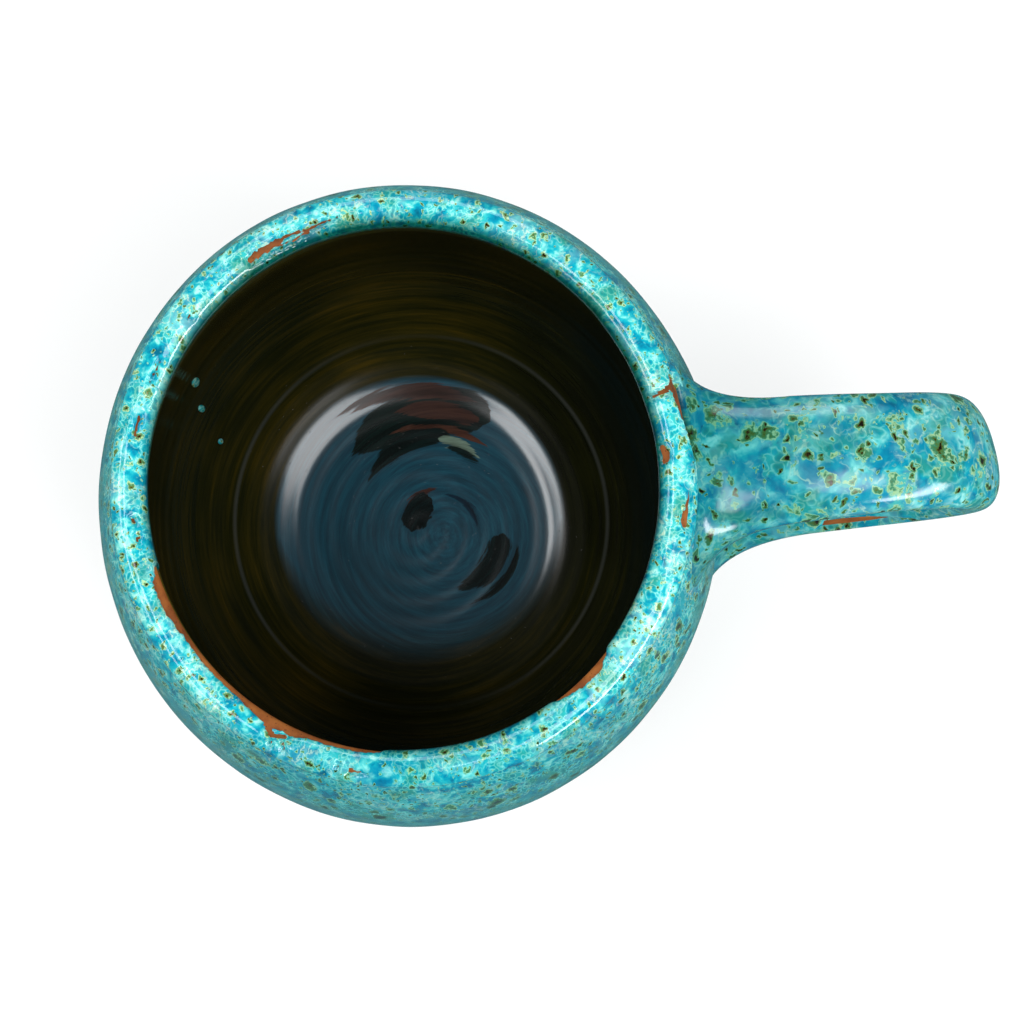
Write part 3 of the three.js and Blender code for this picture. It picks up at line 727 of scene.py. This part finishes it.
# Pulled strap handle: the clay strap and the coat round it have one line, and each root is a hollow
# fillet that leaves the strap and lands on the wall in line with it
strap = {
    "width": 17.2,  # its widths and shifts follow the photograph, within about 1 mm of the solid
    "bendWidth": 15.8,
    "thickness": 7.2,
    "lowerWidth": 14.4,
    "bendSpan": (0.12, 0.32),  # shares of its length over which the width changes
    "lowerSpan": (0.4, 0.75),
    "squareness": 2.4,
    "upperDrop": 12,
    "upperLift": 8.3,
    "upperRun": 14,
    "projection": 36.8,
    "bendDrop": 25.2,
    "bendShift": 0.6,
    "bendRise": 18,
    "bendFall": 15,
    "lowerRun": 18,
    "lowerLift": 10.3,
    "lowerHeight": 29.2,
    "lowerShift": 0.2,
    "twist": math.radians(-10),
    "rootDepth": 6,
    "upperFillet": {"along": 14, "far": 8.5, "near": 12, "over": 3.5, "under": 6},
    "lowerFillet": {"along": 19, "far": 10, "near": 11, "over": 8, "under": 6},
    "bare": {"from": 62, "to": 75.5, "turn": math.radians(205), "half": 1.7},  # lower arm, inside the ear
    "buried": 1,  # how far its ends go into the wall
    "lineSteps": 120,
    "search": 0.3,  # share of its length at which the search for the wall starts, and its step
    "searchStep": 0.5,
    "sides": 96,
    "rows": 150,
    "filletRows": 26,
}


def strapLine():
    upper = place(wallRadius(vessel["rimHeight"] - strap["upperDrop"]) - strap["rootDepth"],
                  vessel["rimHeight"] - strap["upperDrop"])
    bend = place(belly.x + strap["projection"], vessel["rimHeight"] - strap["bendDrop"])
    bend.y = strap["bendShift"]
    lower = place(wallRadius(strap["lowerHeight"]) - strap["rootDepth"], strap["lowerHeight"])
    lower.y = strap["lowerShift"]
    upperPull = place(belly.x + strap["upperRun"], upper.z + strap["upperLift"])
    upperPull.y = strap["bendShift"]
    lowerPull = place(belly.x + strap["lowerRun"], lower.z + strap["lowerLift"])
    lowerPull.y = strap["lowerShift"]
    steps = strap["lineSteps"]
    first = interpolate_bezier(upper, upperPull, bend + place(0, strap["bendRise"]), bend, steps)
    second = interpolate_bezier(bend, bend - place(0, strap["bendFall"]), lowerPull, lower, steps)
    return first[:-1] + second


strapPoints = strapLine()
strapRuns = [-length for length in runLengths(strapPoints, 0)]
strapLength = strapRuns[-1]


def strapFrame(run):
    index = min(max(bisect(strapRuns, run), 1), len(strapRuns) - 1)
    part = (run - strapRuns[index - 1]) / (strapRuns[index] - strapRuns[index - 1])
    middle = blend(strapPoints[index - 1], strapPoints[index], part)
    before = strapPoints[max(index - 3, 0)]
    after = strapPoints[min(index + 2, len(strapPoints) - 1)]
    tangent = (after - before).normalized()
    outward = Vector((-tangent.z, 0, tangent.x)).normalized()
    twist = Matrix.Rotation(strap["twist"] * math.sin(math.pi * run / strapLength) ** 2, 3, tangent)
    return middle, twist @ outward, twist @ Vector((0, 1, 0))


def strapPoint(turn, run, lift):
    middle, outward, sideways = strapFrame(run)
    part = run / strapLength
    wide = blend(strap["width"], strap["bendWidth"], smooth(*strap["bendSpan"], part))
    wide = blend(wide, strap["lowerWidth"], smooth(*strap["lowerSpan"], part)) / 2 + lift
    thick = strap["thickness"] / 2 + lift
    power = 2 / strap["squareness"]
    across = math.copysign(abs(math.cos(turn)) ** power, math.cos(turn))
    over = math.copysign(abs(math.sin(turn)) ** power, math.sin(turn))
    return middle + sideways * wide * across + outward * thick * over


def wallGap(point, lift):  # how far a point stands out from the glazed wall
    x = point.x / (1 - vessel["ovality"])
    y = point.y / (1 + vessel["ovality"])
    return math.hypot(x, y) - wallRadius(point.z) - lift


def ontoWall(point, lift):
    grow = (wallRadius(point.z) + lift) / (wallGap(point, lift) + wallRadius(point.z) + lift)
    return Vector((point.x * grow, point.y * grow, point.z))


def meetWall(turn, lift, start, step):  # run at which a line along the strap meets the wall
    run = start
    while wallGap(strapPoint(turn, run + step, lift), lift) > 0 and 0 < run + step < strapLength:
        run += step
    for _ in range(12):
        step /= 2
        if wallGap(strapPoint(turn, run + step, lift), lift) > 0:
            run += step
    return run


def filletSize(fillet, turn):
    height = fillet["over"] if math.sin(turn) > 0 else fillet["under"]
    side = fillet["far"] if math.cos(turn) > 0 else fillet["near"]
    return math.hypot(side * math.cos(turn), height * math.sin(turn))


def rootCurve(turn, lift, fillet, start, step):  # from the wall to the strap, for one line along the strap
    run = meetWall(turn, lift, start, step)
    corner = strapPoint(turn, run, lift)
    inner = strapFrame(run)[0]
    spread = corner - inner
    spread.x = 0
    landing = ontoWall(corner + spread.normalized() * filletSize(fillet, turn), lift)
    leaving = run - math.copysign(fillet["along"], step)
    return landing, corner, strapPoint(turn, leaving, lift), leaving


def strapLift(turn, run, lift):  # the coat has drawn back from one place on the lower arm
    bare = strap["bare"]
    if lift == 0 or run < strapLength / 2:
        return lift
    reach = (bare["to"] - bare["from"]) / 2
    away = (strapFrame(run)[0].x - bare["from"] - reach) / reach
    across = (turn - bare["turn"]) * strap["lowerWidth"] / 2 / bare["half"]
    edge = (math.hypot(away, across) - 1) * bare["half"]
    return blend(-coat["bareDepth"], lift, rolledEdge(edge))


def handleMesh(lift):
    sides, rows, filletRows = strap["sides"], strap["rows"], strap["filletRows"]
    mesh = bmesh.new()
    runLayer = mesh.verts.layers.float.new("run")
    bmesh.ops.create_grid(mesh, x_segments=sides, y_segments=rows + 2 * filletRows + 2, size=1)
    roots = {}
    ahead, step = strap["search"], strap["searchStep"]
    for column in range(sides + 1):
        turn = 2 * math.pi * (column % sides) / sides
        upper = rootCurve(turn, lift, strap["upperFillet"], strapLength * ahead, -step)
        lower = rootCurve(turn, lift, strap["lowerFillet"], strapLength * (1 - ahead), step)
        roots[column] = (turn, upper, lower)
    for vert in mesh.verts:
        vert[runLayer] = glaze["handleRun"]
        column = round((vert.co.x + 1) / 2 * sides)
        row = round((vert.co.y + 1) / 2 * (rows + 2 * filletRows + 2)) - 1
        turn, upper, lower = roots[column]
        if row < filletRows:
            part = max(row, 0) / filletRows
            landing, corner, leaving = upper[:3]
            buried = row < 0
        elif row > filletRows + rows:
            part = min(rows + 2 * filletRows - row, filletRows)
            part = max(part, 0) / filletRows
            landing, corner, leaving = lower[:3]
            buried = row > rows + 2 * filletRows
        else:
            run = blend(upper[3], lower[3], (row - filletRows) / rows)
            vert.co = strapPoint(turn, run, strapLift(turn, run, lift))
            continue
        vert.co = landing * (1 - part) ** 2 + corner * 2 * part * (1 - part) + leaving * part ** 2
        if buried:
            vert.co -= Vector((vert.co.x, vert.co.y, 0)).normalized() * strap["buried"]
    bmesh.ops.remove_doubles(mesh, verts=mesh.verts, dist=mergeGap)
    bmesh.ops.holes_fill(mesh, edges=[edge for edge in mesh.edges if edge.is_boundary], sides=0)
    bmesh.ops.recalc_face_normals(mesh, faces=mesh.faces)
    return mesh


finishPiece(handleMesh(0), "pulled_strap", clayFinish, "fired_clay", "handle")
strapCoat = handleMesh(coat["thickness"])
finishPiece(strapCoat, "handle_turquoise_coat", strapGlazeFinish, "turquoise_glaze", "handle_glaze")

for node in ("upper_slip_joint", "lower_slip_joint"):
    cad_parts[node].data.materials.clear()
    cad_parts[node].data.materials.append(slipFinish)
print("pieces made")

# Camera: nearly overhead, a little to the near side, as the photograph was taken
camera = {
    "place": Vector((12.66, -42.98, 538.1)) * mm,
    "tilt": 0.0843,
    "turn": math.radians(-4.2),
    "lens": 110.47,
    "sensor": 36,
    "nearest": 0.01,
}
lens = bpy.data.cameras.new("camera")
lens.lens = camera["lens"]
lens.sensor_width = camera["sensor"]
lens.clip_start = camera["nearest"]
viewer = bpy.data.objects.new("camera", lens)
viewer.matrix_world = (Matrix.Translation(camera["place"]) @ Matrix.Rotation(camera["turn"], 4, "Z")
                       @ Matrix.Rotation(camera["tilt"], 4, "X"))
bpy.context.scene.collection.objects.link(viewer)
bpy.context.scene.camera = viewer

# Floor and light: a white table, three softboxes low round the cup and two overhead
table = {
    "size": 0.9,
    "shade": "#AFAFAF",
    "mirrored": "#3C6468",  # what the glaze reflects of it
    "glow": 0.49,  # added for the camera alone, so that it shows white
}
sheet = bmesh.new()
bmesh.ops.create_grid(sheet, x_segments=1, y_segments=1, size=table["size"])
floorData = bpy.data.meshes.new("table")
sheet.to_mesh(floorData)
sheet.free()
floorMaterial, floorTree, floorShader = newMaterial("white_table")
floorShader.inputs["Roughness"].default_value = 0.9
seen = addNode(floorTree, "LightPath")
pale = addNode(floorTree, "Mix", {0: seen.outputs["Is Glossy Ray"], 6: linear(table["shade"]),
                                  7: linear(table["mirrored"])}, data_type="RGBA")
floorTree.links.new(pale.outputs[2], floorShader.inputs["Base Color"])
share = addNode(floorTree, "Math", {0: seen.outputs["Is Camera Ray"], 1: table["glow"]}, operation="MULTIPLY")
glow = addNode(floorTree, "Emission", {"Color": (1, 1, 1, 1), "Strength": share.outputs[0]})
both = addNode(floorTree, "AddShader", {0: floorShader.outputs[0], 1: glow.outputs[0]})
floorOutput = next(node for node in floorTree.nodes if node.bl_idname == "ShaderNodeOutputMaterial")
floorTree.links.new(both.outputs[0], floorOutput.inputs["Surface"])
floorData.materials.append(floorMaterial)
floor = bpy.data.objects.new("table", floorData)
bpy.context.scene.collection.objects.link(floor)

softboxes = [  # turn round the cup and height in degrees, distance, width, height and watts
    {"name": "left_strip", "turn": 192, "rise": 35, "away": 0.9, "size": (0.9, 0.18), "watts": 3.6},
    {"name": "right_strip", "turn": -41, "rise": 23, "away": 0.9, "size": (0.7, 0.18), "watts": 7},
    {"name": "back_strip", "turn": 95, "rise": 33, "away": 0.9, "size": (1, 0.34), "watts": 4.2},
    {"name": "left_overhead", "turn": 190, "rise": 66, "away": 1.08, "size": (0.65, 0.2), "watts": 3.4},
    {"name": "right_overhead", "turn": -42, "rise": 68, "away": 1.05, "size": (0.42, 0.46), "watts": 3.9},
]
aim = Vector((0, 0, 0.07))
for box in softboxes:
    lamp = bpy.data.lights.new(box["name"], "AREA")
    lamp.shape = "RECTANGLE"
    lamp.size, lamp.size_y = box["size"]
    lamp.energy = box["watts"]
    turn, rise = math.radians(box["turn"]), math.radians(box["rise"])
    away = Vector((math.cos(turn) * math.cos(rise), math.sin(turn) * math.cos(rise), math.sin(rise)))
    holder = bpy.data.objects.new(box["name"], lamp)
    holder.location = aim + away * box["away"]
    holder.rotation_euler = away.to_track_quat("Z", "Y").to_euler()
    bpy.context.scene.collection.objects.link(holder)

room = {"light": 0.345, "mirrored": 0.09, "seen": 1}  # strengths for the cup, its gloss and the camera
world = bpy.data.worlds.new("studio")
world.use_nodes = True
worldTree = world.node_tree
worldTree.nodes.clear()
sight = addNode(worldTree, "LightPath")
dim = addNode(worldTree, "MapRange", {0: sight.outputs["Is Glossy Ray"], 3: room["light"],
                                      4: room["mirrored"]})
white = addNode(worldTree, "MapRange", {0: sight.outputs["Is Camera Ray"], 3: dim.outputs[0],
                                        4: room["seen"]})
sky = addNode(worldTree, "Background", {"Color": (1, 1, 1, 1), "Strength": white.outputs[0]})
addNode(worldTree, "OutputWorld", {"Surface": sky.outputs[0]})
bpy.context.scene.world = world
bpy.context.scene.view_settings.view_transform = "Standard"
print("camera and light set")
